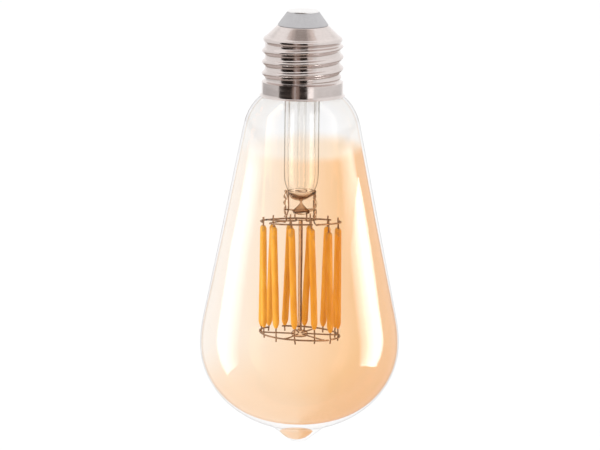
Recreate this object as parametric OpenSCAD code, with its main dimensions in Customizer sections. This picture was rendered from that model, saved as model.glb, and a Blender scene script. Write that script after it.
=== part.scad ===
// Smart filament lamp: a pear-shaped glass on an E27 screw cap, with twelve LED filaments
// on two wire crowns and a radio-controlled driver inside the cap.
// Millimetres. +Z is up, cap on top: the lamp hangs below the origin, which is the
// centre of the end contact's face. Angles round the lamp start at the front (-Y)
// and turn towards +X.

/* [Cap] */
// Diameter over the crests of the rolled thread
thread_crest_d = 26.3; // [26.05:0.05:26.45]
// Diameter in the roots of the thread
thread_root_d = 24.2; // [24:0.1:24.4]
// Rise of the thread in one turn
thread_pitch = 3.629; // [3.5:0.001:3.75]
// Diameter of the plain skirt under the thread
skirt_d = 26.2; // [26.2:0.1:26.6]
// Height of the plain skirt
skirt_h = 3.8; // [3.5:0.1:4.2]
// Height of the cap, from the contact to the rim
cap_h = 27.5; // [27.3:0.1:28.5]
// Diameter of the flared rim
rim_d = 27.5; // [27:0.1:28]
// Sheet thickness of the screw shell
sheet = 0.3; // [0.2:0.05:0.35]
// Diameter of the end contact
contact_d = 10; // [9:0.5:10.5]
// Diameter of the insulator's foot
insulator_d = 16.2; // [15.6:0.1:16.4]

/* [Glass] */
// Length of the whole lamp, from the contact to the tip
lamp_length = 140.8; // [139:0.2:143]
// Largest diameter of the glass
belly_d = 64.2; // [62:0.2:66]
// Height of the rounded bottom, from the widest place down
dome_h = 28; // [27:0.2:30]
// Length of the drawn tip under the bottom
tip_h = 4.2; // [3.6:0.2:5]
// Diameter of the neck inside the cap
neck_d = 23; // [22.8:0.1:23.1]
// Wall of the glass
glass_wall = 0.8; // [0.6:0.1:0.9]
// Glass in the middle of the bottom
bottom_wall = 1.9; // [1.2:0.1:2.4]

/* [Stem] */
// Outside diameter of the stem tube
stem_d = 11.2; // [10.8:0.1:11.4]
// Wall of the stem tube
stem_wall = 1; // [0.8:0.05:1.1]
// Width of the flat press at the stem's end
press_w = 10.4; // [10:0.1:11]
// Thickness of the flat press
press_t = 4.4; // [4:0.1:5]
// Diameter of the exhaust tube
exhaust_d = 2.8; // [2.4:0.1:2.8]
// Diameter of the glass rod in the middle
rod_d = 1.5; // [1:0.1:1.6]
// Diameter of the bead at the rod's end
bead_d = 5.4; // [4.5:0.1:5.5]
// Distance from the contact down to the press's lower edge
press_depth = 68.3; // [67.8:0.1:68.4]

/* [Filaments] */
// Number of filaments round the crown
filament_count = 12;
// Distance of the filaments from the axis
filament_ring_r = 12.5; // [12.4:0.05:12.6]
// Length of the coated part
coat_length = 33; // [32:0.1:33.2]
// Diameter of the coated part
coat_d = 2.1; // [1.6:0.1:2.2]
// Diameter of the pins at both ends
pin_d = 0.44; // [0.4:0.02:0.5]
// Turn of the lower crown against the upper one
crown_twist = 7; // [4:1:8]
// Distance from the contact down to the middle of the upper crown
upper_crown_depth = 68.8; // [68.7:0.1:69]
// Lean of the upper crown, which stands higher at the front
upper_lean = 4.8; // [0:0.2:5]
// Distance from the contact down to the middle of the lower crown
lower_crown_depth = 105.4; // [105.2:0.1:105.6]
// Lean of the lower crown, which hangs lower on the right
lower_lean = 3; // [0:0.2:3.4]
// Wire of the crowns
crown_wire_d = 0.5; // [0.4:0.05:0.6]
// Wire of the supports and leads
lead_wire_d = 0.4; // [0.35:0.05:0.45]

/* [Driver] */
// Half the width of the driver board
board_half_w = 9.3; // [8.8:0.1:9.4]
// Thickness of the driver board
board_t = 1; // [0.8:0.1:1]
// Diameter of the smoothing capacitor
capacitor_d = 8; // [6.3:0.1:8]
// Height of the smoothing capacitor
capacitor_h = 10.5; // [9:0.5:10.5]

/* [Quality] */
// Facets round the thread
thread_segments = 48; // [36:4:60]
// Thread rings in one turn
rings_per_turn = 8; // [6:1:10]

/* [Hidden] */
$fn = 96;
filament_names = [for (k = [1 : filament_count]) str("filament_", k < 10 ? "0" : "", k)];

gap = 0.05;

// Cap levels
crest_r = thread_crest_d / 2;
root_r = thread_root_d / 2;
skirt_r = skirt_d / 2;
rim_r = rim_d / 2;
contact_r = contact_d / 2;
rivet_r = 1.4;
contact_t = 0.45;
insulator_r = insulator_d / 2;
insulator_bottom_z = -4.7;
spigot_r = insulator_r - 0.55;
spigot_bottom_z = -6.45;
shoulder_top_z = insulator_bottom_z - gap;
cone_bottom_z = -8.5;
thread_top_z = -10.6;
rim_z = -cap_h;
skirt_bottom_z = rim_z + 0.9;
skirt_top_z = skirt_bottom_z + skirt_h;
thread_bottom_z = skirt_top_z + 0.7;
// Height at which a crest passes the +X side
crest_z = -11.3;
// The thread rises over these heights, and laps this far into the plain rings
fade_top = 0.55;
fade_bottom = 1.1;
thread_lap = 0.15;
// The rings are this much proud of the thread's sheet where they meet it
lap_outside = 0.03;
lap_inside = 0.07;

// Glass levels
belly_r = belly_d / 2;
belly_z = -(lamp_length - tip_h - dome_h);
tip_z = -lamp_length;
neck_r = neck_d / 2;
neck_top_z = -20.95;
neck_bottom_z = -25;
shoulder_start = [14.6, rim_z - 1.4];
cone_start = [18.85, rim_z - 10];
cone_end = [30, belly_z + 14.6];
cone_slope = (cone_end.x - cone_start.x) / (cone_start.y - cone_end.y);
tip_start_r = 9.5;

// Stem levels
stem_r = stem_d / 2;
flare_inner_r = neck_r - glass_wall - gap;
flare_arc_r = flare_inner_r - stem_r;
flare_bottom_z = neck_top_z - stem_wall - flare_arc_r;
press_top_z = -58.7;
press_body_z = -61.3;
press_z = -press_depth;
exhaust_r = exhaust_d / 2;
exhaust_wall = 0.4;
exhaust_top_z = -17.6;
lead_x = 4.1;
support_x = 1.9;
support_depth = 3;

// Crown levels
upper_z = -upper_crown_depth;
lower_z = -lower_crown_depth;
crown_r = filament_ring_r + crown_wire_d / 2 + pin_d / 2 + 0.01;
pin_tail = 1.7;
filament_step = 360 / filament_count;
top_start_angle = -14;
bottom_start_angle = top_start_angle + crown_twist;
// The upper pins are longer at the rear and on the right, and filament 3 hangs lowest
upper_pin_length = 1.7;
rear_pin_change = 0.5;
right_pin_change = 0.35;
low_filament = 2;
low_filament_drop = 1.1;
// Lengths over which a coat swells at its top and thins out at its bottom
blunt_end = 0.7;
drawn_end = 2.4;
bead_h = 2.2;
bead_z = lower_z - bead_h / 2;
lower_support_angles = [-82, -22, 38, 98, 158, 192];

// Driver levels
sleeve_r = root_r - sheet - 0.3;
sleeve_wall = 0.4;
sleeve_top_z = thread_top_z;
sleeve_bottom_z = neck_top_z + 1.05;
board_y = 2;
board_back_y = board_y + board_t;
board_bottom_z = neck_top_z + 0.75;
board_top_z = -7.2;
module_y = board_back_y + 2.6;
module_t = 0.8;

// ---------------------------------------------------------------- helpers

// Point at an angle from the front, at radius r and height z
function around(angle, r, z) = [r * sin(angle), -r * cos(angle), z];

// Point in the leaning plane of the upper crown
function on_upper_crown(angle, r) =
    [r * sin(angle), -r * cos(angle) * cos(upper_lean),
     upper_z + r * cos(angle) * sin(upper_lean)];

// Point in the leaning plane of the lower crown
function on_lower_crown(angle, r) =
    [r * sin(angle) * cos(lower_lean), -r * cos(angle),
     lower_z - r * sin(angle) * sin(lower_lean)];

function bezier(p, steps) = [
    for (i = [0 : steps])
        let (t = i / steps, s = 1 - t)
        s * s * s * p[0] + 3 * t * s * s * p[1] + 3 * t * t * s * p[2] + t * t * t * p[3]
];

function without_first(list) = [for (i = [1 : len(list) - 1]) list[i]];

function reversed(list) = [for (i = [len(list) - 1 : -1 : 0]) list[i]];

function unit(v) = v / norm(v);

// Direction of a path at point i, in two or three dimensions
function heading(path, i) = unit(path[min(i + 1, len(path) - 1)] - path[max(i - 1, 0)]);

// The path moved sideways by w, to the right of its direction
function inset(path, w) = [
    for (i = [0 : len(path) - 1])
        let (d = heading(path, i))
        path[i] + w * [d.y, -d.x]
];

// A sheet of thickness w along an outline that runs downwards, with level ends of
// thickness first_w and last_w
module sheet_ring(path, w, first_w, last_w) {
    last = len(path) - 1;
    inner = inset(path, w);
    back = [for (i = [0 : last])
        i == 0 ? path[0] - [first_w, 0] :
        i == last ? path[last] - [last_w, 0] :
        inner[i]];
    rotate_extrude()
        polygon(concat(path, reversed(back)));
}

// Draws its children along +Z from p towards q
module along(p, q) {
    v = q - p;
    translate(p)
        rotate([0, acos(v.z / norm(v)), atan2(v.y, v.x)])
            children();
}

// A straight round bar from p to q
module bar(p, q, d) {
    along(p, q)
        cylinder(d = d, h = norm(q - p), $fn = 32);
}

// Sideways directions carried along a route without twisting
function carried(route, i, u) =
    i == len(route) ? [] :
    let (t = heading(route, i), v = unit(u - (u * t) * t))
    concat([[v, cross(t, v)]], carried(route, i + 1, v));

// A bent wire: rings of points carried along the route
module wire(route, d) {
    sides = 8;
    first = abs(heading(route, 0).y) < 0.9 ? [0, 1, 0] : [1, 0, 0];
    frames = carried(route, 0, first);
    last = len(route) - 1;
    points = [
        for (i = [0 : last], j = [0 : sides - 1])
            let (a = j * 360 / sides)
            route[i] + d / 2 * (cos(a) * frames[i][0] + sin(a) * frames[i][1])
    ];
    walls = [
        for (i = [0 : last - 1], j = [0 : sides - 1])
            let (a = i * sides + j, b = i * sides + (j + 1) % sides)
            each [[a, a + sides, b], [b, a + sides, b + sides]]
    ];
    start_cap = [for (j = [0 : sides - 1]) j];
    end_cap = [for (j = [sides - 1 : -1 : 0]) last * sides + j];
    polyhedron(points, concat(walls, [start_cap, end_cap]));
}

// A length of round wire bent to the crown's radius between two angles. The crown's plane
// is turned by tilt, about X and about Y.
module crown_arc(z, from_angle, to_angle, tilt) {
    translate([0, 0, z])
        rotate(tilt)
            rotate([0, 0, from_angle - 90])
                rotate_extrude(angle = to_angle - from_angle)
                    translate([crown_r, 0])
                        circle(d = crown_wire_d, $fn = 32);
}

// ---------------------------------------------------------------- cap

module end_contact() {
    edge = 0.3;
    color("gainsboro")
        rotate_extrude()
            polygon(concat(
                [[0, 0]],
                [for (a = [90 : -15 : 0]) [contact_r - edge + edge * cos(a), edge * (sin(a) - 1)]],
                [[contact_r, -contact_t], [rivet_r, -contact_t], [rivet_r, -7.2], [0, -7.2]]));
}

module contact_insulator() {
    top_z = -contact_t - gap;
    color("darkgray")
        rotate_extrude()
            polygon([
                [rivet_r + gap, top_z],
                [contact_r + 0.15, top_z],
                [contact_r + 0.3, top_z - 0.15],
                [insulator_r, insulator_bottom_z + 0.25],
                [insulator_r, insulator_bottom_z],
                [spigot_r, insulator_bottom_z],
                [spigot_r, spigot_bottom_z],
                [rivet_r + gap, spigot_bottom_z]
            ]);
}

// Share of the full thread height at height z
function thread_fade(z) =
    let (plain = 0.4)
    max(0, min(1, (thread_top_z - plain - z) / fade_top,
               (z - thread_bottom_z - plain) / fade_bottom));

// Outer radius of the thread at height z and angle a from +X
function thread_r(z, a) =
    root_r + (crest_r - root_r) * thread_fade(z)
        * pow((1 + cos(360 * (z - crest_z) / thread_pitch - a)) / 2, 1.6);

module thread() {
    high_z = thread_top_z + thread_lap;
    low_z = thread_bottom_z - thread_lap;
    rings = ceil((high_z - low_z) / thread_pitch * rings_per_turn);
    n = thread_segments;
    inner = (rings + 1) * n;
    outer_points = [
        for (i = [0 : rings], j = [0 : n - 1])
            let (z = high_z + (low_z - high_z) * i / rings,
                 a = 360 * j / n, r = thread_r(z, a))
            [r * cos(a), r * sin(a), z]
    ];
    inner_points = [
        for (p = outer_points)
            let (r = norm([p.x, p.y]))
            [p.x * (r - sheet) / r, p.y * (r - sheet) / r, p.z]
    ];
    walls = [
        for (i = [0 : rings - 1], j = [0 : n - 1])
            let (a = i * n + j, b = i * n + (j + 1) % n)
            each [[a, b, a + n], [b, b + n, a + n],
                  [inner + a, inner + a + n, inner + b], [inner + b, inner + a + n, inner + b + n]]
    ];
    bottom = rings * n;
    ends = [
        for (j = [0 : n - 1])
            let (k = (j + 1) % n)
            each [[j, inner + j, k], [k, inner + j, inner + k],
                  [bottom + j, bottom + k, inner + bottom + j],
                  [bottom + k, inner + bottom + k, inner + bottom + j]]
    ];
    polyhedron(concat(outer_points, inner_points), concat(walls, ends));
}

module screw_shell() {
    lap_r = root_r + lap_outside;
    lap_w = sheet + lap_outside + lap_inside;
    shoulder = concat(
        [[insulator_r - 0.15, shoulder_top_z]],
        bezier([[root_r - 0.2, cone_bottom_z], [crest_r + 0.25, cone_bottom_z - 0.4],
                [lap_r, thread_top_z + 0.9], [lap_r, thread_top_z]], 8));
    skirt = concat(
        bezier([[lap_r, thread_bottom_z], [lap_r, thread_bottom_z - 0.5],
                [skirt_r, skirt_top_z + 0.5], [skirt_r, skirt_top_z]], 6),
        bezier([[skirt_r, skirt_bottom_z], [skirt_r, skirt_bottom_z - 0.45],
                [rim_r - 0.3, rim_z + 0.2], [rim_r, rim_z]], 5));
    color("silver") {
        sheet_ring(shoulder, sheet, sheet, lap_w);
        thread();
        sheet_ring(skirt, sheet, lap_w, sheet);
    }
}

module insulating_sleeve() {
    color("ivory")
        translate([0, 0, sleeve_bottom_z])
            difference() {
                cylinder(r = sleeve_r, h = sleeve_top_z - sleeve_bottom_z);
                translate([0, 0, -1])
                    cylinder(r = sleeve_r - sleeve_wall, h = sleeve_top_z - sleeve_bottom_z + 2);
            }
}

module basing_cement() {
    outer_r = skirt_r - sheet - gap;
    color("tan")
        rotate_extrude()
            polygon([
                [neck_r + gap, skirt_top_z - 0.1],
                [outer_r, skirt_top_z - 0.1],
                [outer_r, skirt_bottom_z + 0.6],
                [neck_r + 0.45, skirt_bottom_z + 0.6],
                [neck_r + gap, neck_bottom_z]
            ]);
}

// ---------------------------------------------------------------- glass

// Outline of the rounded bottom, from the widest place to radius end_r
function dome(a, c, end_r, steps) =
    let (stop = acos(end_r / a))
    [for (i = [0 : steps]) let (t = stop * i / steps) [a * cos(t), belly_z - c * sin(t)]];

module glass_envelope() {
    side = concat(
        [[neck_r, neck_top_z]],
        bezier([[neck_r, neck_bottom_z], [neck_r, neck_bottom_z - 2],
                shoulder_start + [-1.5, 1.5], shoulder_start], 7),
        without_first(bezier([shoulder_start, shoulder_start + [1.6, -1.6],
                              cone_start + 4 * [-cone_slope, 1], cone_start], 6)),
        bezier([cone_end, cone_end + 5.5 * [cone_slope, -1],
                [belly_r, belly_z + 5.5], [belly_r, belly_z]], 8));
    outer_dome = dome(belly_r, dome_h, tip_start_r, 14);
    tip_top = outer_dome[len(outer_dome) - 1];
    tip = bezier([tip_top, tip_top + [-1.3, -0.4], [4.6, tip_z + 1.9], [2.6, tip_z + 0.45]], 6);
    tip_end = bezier([[2.6, tip_z + 0.45], [1.8, tip_z + 0.1], [0.9, tip_z], [0, tip_z]], 4);
    inner_side = inset(side, glass_wall);
    inner_dome = dome(belly_r - glass_wall, dome_h - bottom_wall, 0, 14);
    color("sandybrown", 0.4)
        rotate_extrude()
            polygon(concat(
                side,
                without_first(outer_dome),
                without_first(tip),
                without_first(tip_end),
                reversed(without_first(inner_dome)),
                reversed(without_first(inner_side)),
                [[neck_r - glass_wall, neck_top_z]]));
}

module stem_tube() {
    centre = [flare_inner_r, flare_bottom_z];
    outer = [for (a = [90 : -10 : 0]) centre + flare_arc_r * [-cos(a), sin(a)]];
    inner = [for (a = [90 : -10 : 0]) centre + (flare_arc_r + stem_wall) * [-cos(a), sin(a)]];
    color("lightcyan", 0.5)
        rotate_extrude()
            polygon(concat(
                outer,
                [[stem_r, press_top_z], [stem_r - stem_wall, press_top_z]],
                reversed(inner)));
}

module exhaust_tube() {
    inner_r = exhaust_r - exhaust_wall;
    color("lightcyan", 0.6)
        rotate_extrude()
            polygon(concat(
                [[inner_r, press_top_z + 1.2], [exhaust_r, press_top_z + 1.2]],
                [for (a = [0 : 15 : 90]) [exhaust_r * cos(a), exhaust_top_z - exhaust_r * (1 - sin(a))]],
                [for (a = [90 : -30 : 0])
                    [inner_r * cos(a), exhaust_top_z - exhaust_r - 0.6 + inner_r * sin(a)]]));
}

// A round end pinched flat across Y. The leads' holes run right through it, the
// supports' holes end in it.
module stem_press() {
    half_w = press_w / 2;
    edge = 0.5;
    hole_d = lead_wire_d + 0.02;
    color("lightcyan", 0.6)
        difference() {
            intersection() {
                rotate_extrude()
                    polygon([
                        [0, press_top_z - gap],
                        [stem_r, press_top_z - gap],
                        [half_w, press_body_z],
                        [half_w, press_z + edge],
                        [half_w - edge, press_z],
                        [0, press_z]
                    ]);
                rotate([90, 0, 90])
                    translate([0, 0, -stem_d])
                        linear_extrude(2 * stem_d)
                            polygon([
                                [-stem_d, press_top_z + stem_r],
                                [-press_t / 2, press_body_z],
                                [-press_t / 2, press_z - 1],
                                [press_t / 2, press_z - 1],
                                [press_t / 2, press_body_z],
                                [stem_d, press_top_z + stem_r]
                            ]);
            }
            for (x = [-lead_x, lead_x])
                translate([x, 0, press_z - 1])
                    cylinder(d = hole_d, h = press_top_z - press_z + 2);
            for (x = [-support_x, support_x])
                translate([x, 0, press_z - 1])
                    cylinder(d = hole_d, h = support_depth + 1);
        }
}

module centre_rod() {
    color("peru")
        translate([0, 0, bead_z + bead_h])
            cylinder(d = rod_d, h = press_z - bead_z - bead_h, $fn = 32);
}

module rod_bead() {
    edge = 0.5;
    r = bead_d / 2;
    color("rosybrown")
        translate([0, 0, bead_z])
            rotate_extrude()
                polygon(concat(
                    [[0, 0]],
                    [for (a = [-90 : 15 : 0]) [r - edge + edge * cos(a), edge + edge * sin(a)]],
                    [for (a = [0 : 15 : 90]) [r - edge + edge * cos(a), bead_h - edge + edge * sin(a)]],
                    [[0, bead_h]]));
}

// ---------------------------------------------------------------- crowns

module upper_wire_front() {
    color("dimgray") crown_arc(upper_z, -50, 17, [-upper_lean, 0, 0]);
}

module upper_wire_right() {
    color("dimgray") crown_arc(upper_z, 22, 110, [-upper_lean, 0, 0]);
}

module upper_wire_rear() {
    color("dimgray") crown_arc(upper_z, 132, 290, [-upper_lean, 0, 0]);
}

module lower_wire_front() {
    color("dimgray") crown_arc(lower_z, -130, 46, [0, lower_lean, 0]);
}

module lower_wire_rear() {
    color("dimgray") crown_arc(lower_z, 50, 206, [0, lower_lean, 0]);
}

// A wire from the board down the stem, through the press and out to the upper crown
module lead(side, elbow, crown_angle) {
    x = side * lead_x;
    reach = crown_r - (crown_wire_d + lead_wire_d) / 2 - 0.01;
    wire([
        [x, board_y + board_t / 2, board_bottom_z],
        [x, board_y + board_t / 2 - 0.2, board_bottom_z - 0.8],
        [x, 0.4, flare_bottom_z + 1],
        [x, 0, flare_bottom_z],
        [x, 0, press_z - 0.3],
        [x, -0.2, press_z - 0.8],
        elbow,
        on_upper_crown(crown_angle, reach)
    ], lead_wire_d);
}

module lead_wire_left() {
    color("dimgray") lead(-1, [-6.2, -3.4, press_z - 0.9], -51);
}

module lead_wire_right() {
    color("dimgray") lead(1, [4.7, -3.6, press_z - 0.9], 27);
}

module upper_supports() {
    reach = crown_r - (crown_wire_d + lead_wire_d) / 2 - 0.01;
    color("dimgray") {
        wire([[support_x, 0, press_z + support_depth - 0.1], [support_x, 0, press_z - 0.3],
              [support_x + 0.3, 0.9, press_z - 0.8], on_upper_crown(151, reach)], lead_wire_d);
        wire([[-support_x, 0, press_z + support_depth - 0.1], [-support_x, 0, press_z - 0.3],
              [-support_x - 0.7, 0.6, press_z - 0.8], on_upper_crown(241, reach)], lead_wire_d);
    }
}

module lower_supports() {
    color("dimgray")
        for (a = lower_support_angles)
            bar(around(a, bead_d / 2 + 0.03, lower_z),
                on_lower_crown(a, crown_r - crown_wire_d / 2 - 0.01), lead_wire_d);
}

// Where filament k crosses the crowns
function filament_top(k) =
    on_upper_crown(top_start_angle + k * filament_step, filament_ring_r);
function filament_bottom(k) =
    on_lower_crown(bottom_start_angle + k * filament_step, filament_ring_r);
// Distance along filament k from the upper crown to its coat
function coat_start(k) =
    let (angle = top_start_angle + k * filament_step)
    upper_pin_length - rear_pin_change * cos(angle) + right_pin_change * sin(angle)
        + (k == low_filament ? low_filament_drop : 0);

module filament(k) {
    r = coat_d / 2;
    color("orange")
        along(filament_top(k), filament_bottom(k))
            translate([0, 0, coat_start(k)])
                rotate_extrude($fn = 32)
                    polygon([
                        [0, 0],
                        [r * 0.65, 0],
                        [r, blunt_end],
                        [r, coat_length - drawn_end],
                        [r * 0.8, coat_length - drawn_end / 2],
                        [r * 0.4, coat_length],
                        [0, coat_length]
                    ]);
}

module filament_pins() {
    color("dimgray")
        for (k = [0 : filament_count - 1])
            along(filament_top(k), filament_bottom(k)) {
                span = norm(filament_top(k) - filament_bottom(k));
                coat_end = coat_start(k) + coat_length + 0.01;
                translate([0, 0, -pin_tail])
                    cylinder(d = pin_d, h = pin_tail + coat_start(k) - 0.01, $fn = 16);
                translate([0, 0, coat_end])
                    cylinder(d = pin_d, h = span + pin_tail - coat_end, $fn = 16);
            }
}

// ---------------------------------------------------------------- driver

// A plate that stands upright: its outline is drawn in X and Z
module upright(y, t) {
    translate([0, y + t, 0])
        rotate([90, 0, 0])
            linear_extrude(t)
                children();
}

module driver_board() {
    shoulder_z = -11;
    top_half_w = 5;
    color("darkgreen")
        upright(board_y, board_t)
            polygon([
                [-board_half_w, board_bottom_z],
                [board_half_w, board_bottom_z],
                [board_half_w, shoulder_z],
                [top_half_w, board_top_z],
                [-top_half_w, board_top_z],
                [-board_half_w, shoulder_z]
            ]);
}

// A moulded chip package against the back of the board
module package_on_back(x, z, w, h) {
    t = 1.5;
    color("black")
        translate([x - w / 2, board_back_y, z - h / 2])
            cube([w, t, h]);
}

module bridge_rectifier() {
    package_on_back(-4.9, -16, 4.7, 3.9);
}

module driver_chip() {
    package_on_back(4.5, -16, 4.9, 3.9);
}

module smoothing_capacitor() {
    bottom_z = -18.6;
    lead_z = bottom_z - 0.8;
    x = -5.2;
    y = -2.6;
    r = capacitor_d / 2;
    groove = 0.35;
    color("navy")
        translate([x, y, bottom_z])
            rotate_extrude()
                polygon([
                    [0, 0], [r, 0], [r, 1.1], [r - groove, 1.5], [r, 1.9],
                    [r, capacitor_h - 0.4], [r - 0.4, capacitor_h], [0, capacitor_h]
                ]);
    color("silver")
        for (dx = [-1.3, 1.3]) {
            bar([x + dx, y, bottom_z], [x + dx, y, lead_z], 0.5);
            bar([x + dx, y, lead_z], [x + dx, board_y, lead_z], 0.5);
        }
}

inductor_x = 5.3;
inductor_y = -2.4;
inductor_bottom_z = -19;
inductor_r = 3.2;
inductor_h = 5.4;
inductor_hub_r = 1.6;
flange_t = 0.8;

module inductor_core() {
    color("dimgray")
        translate([inductor_x, inductor_y, inductor_bottom_z])
            rotate_extrude()
                polygon([
                    [0, 0], [inductor_r, 0], [inductor_r, flange_t], [inductor_hub_r, flange_t],
                    [inductor_hub_r, inductor_h - flange_t], [inductor_r, inductor_h - flange_t],
                    [inductor_r, inductor_h], [0, inductor_h]
                ]);
}

module inductor_winding() {
    color("chocolate")
        translate([inductor_x, inductor_y, inductor_bottom_z + flange_t + gap])
            difference() {
                cylinder(r = inductor_r - 0.4, h = inductor_h - 2 * (flange_t + gap));
                translate([0, 0, -1])
                    cylinder(r = inductor_hub_r + gap, h = inductor_h);
            }
}

resistor_x = 4.2;
resistor_y = 0.4;
resistor_top_z = -7.6;

module fusible_resistor() {
    r = 1.1;
    h = 4.6;
    color("seagreen")
        translate([resistor_x, resistor_y, resistor_top_z - h])
            rotate_extrude()
                polygon([
                    [0, 0], [r - 0.2, 0], [r, 0.3], [r, 1], [r - 0.15, 1.3],
                    [r - 0.15, h - 1.3], [r, h - 1], [r, h - 0.3], [r - 0.2, h], [0, h]
                ]);
}

module radio_module() {
    half_w = 6;
    color("midnightblue")
        upright(module_y, module_t)
            polygon([[-half_w, -19.6], [half_w, -19.6], [half_w, -8.6], [-half_w, -8.6]]);
}

module radio_shield() {
    y = module_y + module_t;
    color("silver")
        difference() {
            translate([-4.5, y, -15.8])
                cube([9, 1.8, 6.8]);
            translate([-4.2, y - 1, -15.5])
                cube([8.4, 2.5, 6.2]);
        }
}

// The printed aerial: upright bars joined at alternate ends
module antenna_trace() {
    bars = 6;
    bar_w = 0.5;
    pitch = 1.6;
    low_z = -19.2;
    high_z = -16.6;
    left = -(bars - 1) * pitch / 2 - bar_w / 2;
    color("goldenrod")
        upright(module_y + module_t, 0.1)
            union() {
                for (i = [0 : bars - 1])
                    translate([left + i * pitch, low_z])
                        square([bar_w, high_z - low_z]);
                for (i = [0 : bars - 2])
                    translate([left + i * pitch, i % 2 == 0 ? high_z - bar_w : low_z])
                        square([pitch + bar_w, bar_w]);
            }
}

module module_pins() {
    color("gold")
        for (x = [-4 : 2 : 4])
            translate([x, module_y, -9.6])
                rotate([90, 0, 0])
                    cylinder(d = 0.6, h = module_y - board_back_y, $fn = 16);
}

// From the fusible resistor to the end contact's rivet
module live_wire() {
    color("firebrick")
        wire([
            [resistor_x, resistor_y, resistor_top_z + 0.01],
            [resistor_x, resistor_y, resistor_top_z + 0.45],
            [resistor_x - 0.5, resistor_y, spigot_bottom_z - 0.45],
            [rivet_r + 0.02, 0.1, spigot_bottom_z - 0.45]
        ], lead_wire_d);
}

// From the board, under the sleeve, to the inside of the shell
module neutral_wire() {
    wall_r = root_r - sheet - 0.1;
    turn = 249;
    color("royalblue")
        wire([
            [-8.7, board_back_y + 0.27, -18],
            [-8.7, board_back_y + 0.3, sleeve_bottom_z - 0.1],
            [-9.2, board_back_y + 0.4, sleeve_bottom_z - 0.5],
            around(turn, wall_r, sleeve_bottom_z - 0.52)
        ], lead_wire_d);
}

end_contact();
contact_insulator();
screw_shell();
insulating_sleeve();
basing_cement();
glass_envelope();
stem_tube();
exhaust_tube();
stem_press();
centre_rod();
rod_bead();
lead_wire_left();
lead_wire_right();
upper_wire_front();
upper_wire_right();
upper_wire_rear();
lower_wire_front();
lower_wire_rear();
upper_supports();
lower_supports();
filament_pins();
driver_board();
bridge_rectifier();
smoothing_capacitor();
inductor_core();
inductor_winding();
driver_chip();
fusible_resistor();
radio_module();
radio_shield();
antenna_trace();
module_pins();
live_wire();
neutral_wire();
for (k = [0 : filament_count - 1])
    filament(k);
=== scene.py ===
import math
import random

import bpy
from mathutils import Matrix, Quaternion, Vector, noise


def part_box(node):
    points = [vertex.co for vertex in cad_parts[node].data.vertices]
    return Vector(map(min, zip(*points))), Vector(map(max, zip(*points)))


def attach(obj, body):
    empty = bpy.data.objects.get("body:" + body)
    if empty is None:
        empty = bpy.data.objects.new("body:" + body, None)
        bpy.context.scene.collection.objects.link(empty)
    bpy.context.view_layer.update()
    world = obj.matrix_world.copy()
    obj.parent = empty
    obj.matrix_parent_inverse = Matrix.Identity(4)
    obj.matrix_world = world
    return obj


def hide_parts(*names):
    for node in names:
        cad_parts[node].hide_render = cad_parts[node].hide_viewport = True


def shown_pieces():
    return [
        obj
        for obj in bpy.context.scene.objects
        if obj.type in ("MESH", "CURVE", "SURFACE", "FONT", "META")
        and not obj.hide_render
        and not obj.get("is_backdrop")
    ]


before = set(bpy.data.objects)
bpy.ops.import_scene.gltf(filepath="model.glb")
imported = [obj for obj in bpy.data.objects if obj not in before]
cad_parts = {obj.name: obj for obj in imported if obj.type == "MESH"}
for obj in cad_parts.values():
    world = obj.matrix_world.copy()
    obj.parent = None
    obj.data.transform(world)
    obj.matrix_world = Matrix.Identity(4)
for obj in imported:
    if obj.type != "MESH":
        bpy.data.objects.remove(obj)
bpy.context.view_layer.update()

MM = 0.001
rng = random.Random(7)


# ---- reading the frame

def box_mm(node):
    """Lowest and highest corner of a CAD node, in millimetres."""
    low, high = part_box(node)
    return low / MM, high / MM


def points_mm(node):
    """The CAD node's points, in millimetres."""
    return [v.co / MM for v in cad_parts[node].data.vertices]


def mean(points):
    return sum(points, Vector()) / len(points)


def ends_of(node):
    """Centres of the upper and the lower end of an upright CAD node."""
    points = points_mm(node)
    band = 0.4
    top = max(p.z for p in points)
    bottom = min(p.z for p in points)
    upper = [p for p in points if p.z > top - band]
    lower = [p for p in points if p.z < bottom + band]
    return mean(upper), mean(lower)


def angle_of(p):
    """Angle round the lamp in degrees, from the front (-Y) towards +X."""
    return math.degrees(math.atan2(p.x, -p.y))


def around(angle, r, z):
    """The point at an angle from the front, at radius r and height z."""
    a = math.radians(angle)
    return Vector((r * math.sin(a), -r * math.cos(a), z))


def wire_middle(nodes, angle):
    """Middle of the CAD crown wire at an angle."""
    points = [p for node in nodes for p in points_mm(node)]

    def away(p):
        return abs((angle_of(p) - angle + 180) % 360 - 180)

    nearest = min(away(p) for p in points)
    degrees_wide = 1.5
    return mean([p for p in points if away(p) < nearest + degrees_wide])


def plane_through(nodes):
    """Height and slopes of the plane that a crown lies in: z = height + a x + b y."""
    front, right, rear, left = (wire_middle(nodes, angle) for angle in (0, 90, 180, -90))
    a = (right.z - left.z) / (right.x - left.x)
    b = (rear.z - front.z) / (rear.y - front.y)
    return (front.z + right.z + rear.z + left.z) / 4, a, b


def arc_span(node):
    """First and last angle of a CAD crown wire: its ends border the widest empty sector."""
    angles = sorted(angle_of(p) for p in points_mm(node))
    following = angles[1:] + [angles[0] + 360]
    width, start = max((b - a, b) for a, b in zip(angles, following))
    return start, start + 360 - width


# ---- curves

def bezier(p0, p1, p2, p3, steps):
    """Points on a cubic curve, without the last one."""
    p0, p1, p2, p3 = (Vector(p) for p in (p0, p1, p2, p3))
    points = []
    for i in range(steps):
        t = i / steps
        s = 1 - t
        points.append(s ** 3 * p0 + 3 * t * s * s * p1 + 3 * t * t * s * p2 + t ** 3 * p3)
    return points


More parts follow.
